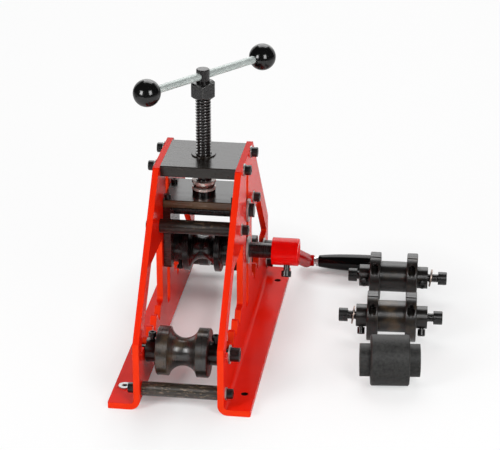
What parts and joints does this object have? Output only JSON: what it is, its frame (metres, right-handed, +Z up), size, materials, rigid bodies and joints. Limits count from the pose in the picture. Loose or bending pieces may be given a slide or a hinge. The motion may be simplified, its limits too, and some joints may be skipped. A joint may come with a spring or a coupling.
{
  "type": "manual pipe bending machine",
  "caption": "Hand-cranked ring roller: notched side plates carry grooved lower rollers, a screw presses a driven upper roller down on the pipe, with spare tooling.",
  "frame": {"origin": "on the floor, midway between the four holes in the feet", "axes": "+X across the machine towards the crank, +Y along the base away from the operator, +Z up"},
  "size_m": [0.4028, 0.46, 0.3842],
  "materials": {
    "red_powder_coat": "glossy red-orange powder coat",
    "black_oxide_plate": "black oxide, ground and oiled",
    "black_fasteners": "black oxide",
    "bright_zinc": "bright zinc plate",
    "black_oxide_turned": "black oxide, turned",
    "bearing_steel": "ground bearing steel",
    "bronze": "turned bronze",
    "dark_shaft_steel": "dark turned steel, oiled",
    "black_gloss_plastic": "moulded, glossy",
    "red_crank_paint": "glossy red paint"
  },
  "bodies": {
    "frame": {"left_side_plate": "red_powder_coat", "right_side_plate": "red_powder_coat", "top_plate": "black_oxide_plate", "screw_bush": "black_oxide_plate", "frame_bolts": "black_fasteners", "frame_washers": "bright_zinc", "lower_front_spacer": "black_oxide_turned", "lower_rear_spacer": "black_oxide_turned", "upper_front_spacer": "black_oxide_turned", "upper_rear_spacer": "black_oxide_turned", "front_axle": "black_oxide_turned", "rear_axle": "black_oxide_turned", "axle_collars": "black_oxide_turned", "collar_screws": "black_fasteners", "axle_bolts": "black_fasteners", "axle_washers": "bright_zinc"},
    "carriage": {"moving_plate": "black_oxide_plate", "left_cheek": "black_oxide_plate", "right_cheek": "black_oxide_plate", "cheek_screws": "black_fasteners", "bearing_boss": "black_oxide_turned", "boss_screws": "black_fasteners", "bearing_lower_race": "bearing_steel", "ball_cage": "bronze", "guide_rod": "dark_shaft_steel", "guide_bolts": "black_fasteners", "guide_washers": "bright_zinc", "shaft_bushes": "bronze"},
    "screw": {"press_screw": "dark_shaft_steel", "screw_nut": "black_fasteners", "bearing_upper_race": "bearing_steel"},
    "tommy": {"tommy_bar": "bright_zinc", "ball_knobs": "black_gloss_plastic"},
    "drive": {"drive_shaft": "dark_shaft_steel", "upper_roller": "black_oxide_turned", "upper_roller_screws": "black_fasteners", "shaft_washers": "bright_zinc", "shaft_end_bolt": "black_fasteners", "crank_hub": "red_crank_paint", "crank_arm": "red_crank_paint", "hub_screw": "black_fasteners", "grip_spindle": "dark_shaft_steel"},
    "grip": {"crank_grip": "black_gloss_plastic"},
    "front_lower_roller": {"front_roller": "black_oxide_turned"},
    "rear_lower_roller": {"rear_roller": "black_oxide_turned"},
    "spare_roller": {"spare_upper_roller": "black_oxide_turned"},
    "near_spare_set": {"near_spare_axle": "black_oxide_turned", "near_spare_core": "black_oxide_turned", "near_spare_flanges": "black_oxide_turned", "near_spare_collars": "black_oxide_turned", "near_spare_screws": "black_fasteners", "near_spare_bolts": "black_fasteners", "near_spare_washer": "bright_zinc"},
    "far_spare_set": {"far_spare_axle": "black_oxide_turned", "far_spare_core": "black_oxide_turned", "far_spare_flanges": "black_oxide_turned", "far_spare_collars": "black_oxide_turned", "far_spare_screws": "black_fasteners", "far_spare_bolts": "black_fasteners", "far_spare_washer": "bright_zinc"}
  },
  "joints": [
    {"name": "screw_turn", "type": "hinge", "parent": "carriage", "child": "screw", "pos_m": [0, 0, 0.3], "axis": [0, 0, 1], "range_deg": [-6480, 1800]},
    {"name": "carriage_slide", "type": "slide", "parent": "frame", "child": "carriage", "axis": [0, 0, 1], "range_m": [-0.072, 0.02]},
    {"name": "tommy_bar_slide", "type": "slide", "parent": "screw", "child": "tommy", "axis": [0.6157, 0.788, 0], "range_m": [-0.0715, 0.0605]},
    {"name": "crank_turn", "type": "hinge", "parent": "carriage", "child": "drive", "pos_m": [0.1, 0, 0.1295], "axis": [1, 0, 0], "continuous": true},
    {"name": "grip_spin", "type": "hinge", "parent": "drive", "child": "grip", "pos_m": [0.165, 0.23239, 0.0129], "axis": [1, 0, 0], "continuous": true},
    {"name": "front_roller_spin", "type": "hinge", "parent": "frame", "child": "front_lower_roller", "pos_m": [0, -0.16665, 0.0605], "axis": [1, 0, 0], "continuous": true},
    {"name": "rear_roller_spin", "type": "hinge", "parent": "frame", "child": "rear_lower_roller", "pos_m": [0, 0.16665, 0.0605], "axis": [1, 0, 0], "continuous": true},
    {"name": "spare_roller_lift", "type": "slide", "parent": "frame", "child": "spare_roller", "axis": [0, 0, 1], "range_m": [0, 0.4]},
    {"name": "near_spare_lift", "type": "slide", "parent": "frame", "child": "near_spare_set", "axis": [0, 0, 1], "range_m": [0, 0.4]},
    {"name": "far_spare_lift", "type": "slide", "parent": "frame", "child": "far_spare_set", "axis": [0, 0, 1], "range_m": [0, 0.4]}
  ],
  "couplings": [
    {"joint": "carriage_slide", "follows": "screw_turn", "m_per_rad": 0.00063662}
  ]
}
